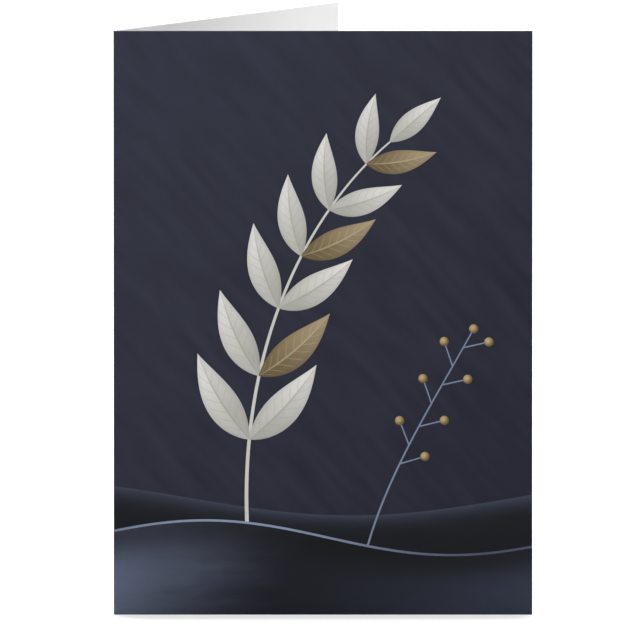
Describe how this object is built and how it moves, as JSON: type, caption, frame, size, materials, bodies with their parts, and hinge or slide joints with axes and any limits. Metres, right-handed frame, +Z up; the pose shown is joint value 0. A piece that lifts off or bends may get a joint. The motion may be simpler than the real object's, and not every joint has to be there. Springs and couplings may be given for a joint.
{
  "type": "greeting card",
  "caption": "Folded greeting card standing open in a V: one creased sheet of white card with a printed front and a plain inside and back.",
  "frame": {"origin": "on the surface that the card stands on, under the middle of its bounding box", "axes": "+Z up along the fold, -Y out of the printed front, -X towards the fold"},
  "size_m": [0.127, 0.1076, 0.1778],
  "materials": {
    "white_board": "uncoated white card inside and on the cut edges, semi-gloss white coating outside",
    "slate_ink": "printed dark slate over the whole front, satin",
    "charcoal_ink": "printed near-black, satin",
    "blue_grey_ink": "printed blue grey, satin",
    "rim_ink": "printed pale blue grey, satin",
    "cream_ink": "printed cream, satin",
    "ochre_ink": "printed ochre, satin"
  },
  "bodies": {
    "root": {"folded_card": "white_board"}
  },
  "joints": []
}
